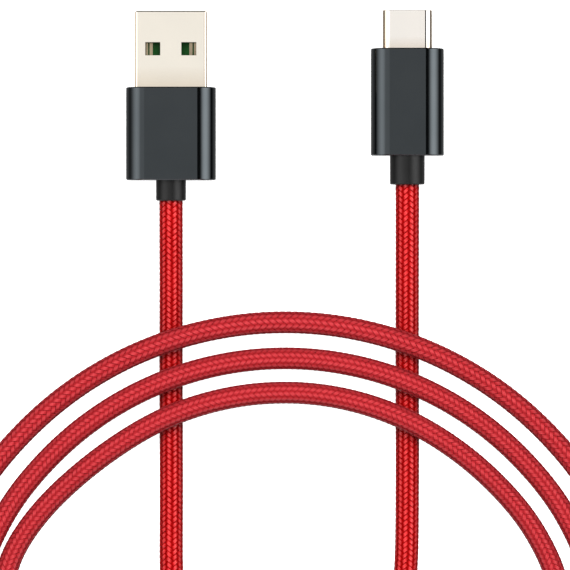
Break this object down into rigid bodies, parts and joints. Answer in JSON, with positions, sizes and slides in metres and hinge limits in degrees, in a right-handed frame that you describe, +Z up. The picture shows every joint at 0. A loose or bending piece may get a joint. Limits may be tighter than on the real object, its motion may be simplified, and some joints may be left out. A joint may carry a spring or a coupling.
{
  "type": "charging cable",
  "caption": "Red braided cable lying in a flat coil, with a rectangular plug and a slim rounded plug side by side, each in a dark metal housing with a short black collar.",
  "frame": {"origin": "on the surface that the cable lies on, midway between the two plugs and midway along them", "axes": "+X from the type A plug to the type C plug, +Y the way both plugs point, +Z up from the surface"},
  "size_m": [0.1192, 0.1476, 0.008],
  "materials": {
    "braid": "woven synthetic yarn, bright red",
    "housing": "anodised dark grey, satin",
    "collar": "moulded, matt near-black",
    "plug_shell": "plated, pale and smooth",
    "inner_mould": "moulded, matt black",
    "tongue": "moulded, dark green",
    "insulator": "moulded, black",
    "contact": "gold-plated copper alloy",
    "spring_steel": "bright spring steel",
    "circuit_board": "green solder mask",
    "chip": "black chip resistor",
    "solder": "bright solder",
    "jacket": "extruded jacket under the braid, dark red",
    "wire_red": "insulation, red",
    "wire_white": "insulation, white",
    "wire_green": "insulation, green",
    "wire_black": "insulation, black"
  },
  "bodies": {
    "root": {"cord_coil": "braid", "cord_lead_usb_a": "braid", "cord_lead_usb_c": "braid", "usb_a_collar": "collar", "usb_a_contact_d_minus": "contact", "usb_a_contact_d_plus": "contact", "usb_a_contact_ground": "contact", "usb_a_contact_vbus": "contact", "usb_a_housing": "housing", "usb_a_inner_mould": "inner_mould", "usb_a_jacket_end": "jacket", "usb_a_shell": "plug_shell", "usb_a_solder_joints": "solder", "usb_a_tongue": "tongue", "usb_a_wire_black": "wire_black", "usb_a_wire_green": "wire_green", "usb_a_wire_red": "wire_red", "usb_a_wire_white": "wire_white", "usb_c_circuit_board": "circuit_board", "usb_c_collar": "collar", "usb_c_contacts_lower": "contact", "usb_c_contacts_upper": "contact", "usb_c_ground_springs": "spring_steel", "usb_c_housing": "housing", "usb_c_inner_mould": "inner_mould", "usb_c_insulator": "insulator", "usb_c_jacket_end": "jacket", "usb_c_latch": "spring_steel", "usb_c_resistor": "chip", "usb_c_shell": "plug_shell", "usb_c_solder_joints": "solder", "usb_c_wire_black": "wire_black", "usb_c_wire_green": "wire_green", "usb_c_wire_red": "wire_red", "usb_c_wire_white": "wire_white"}
  },
  "joints": []
}
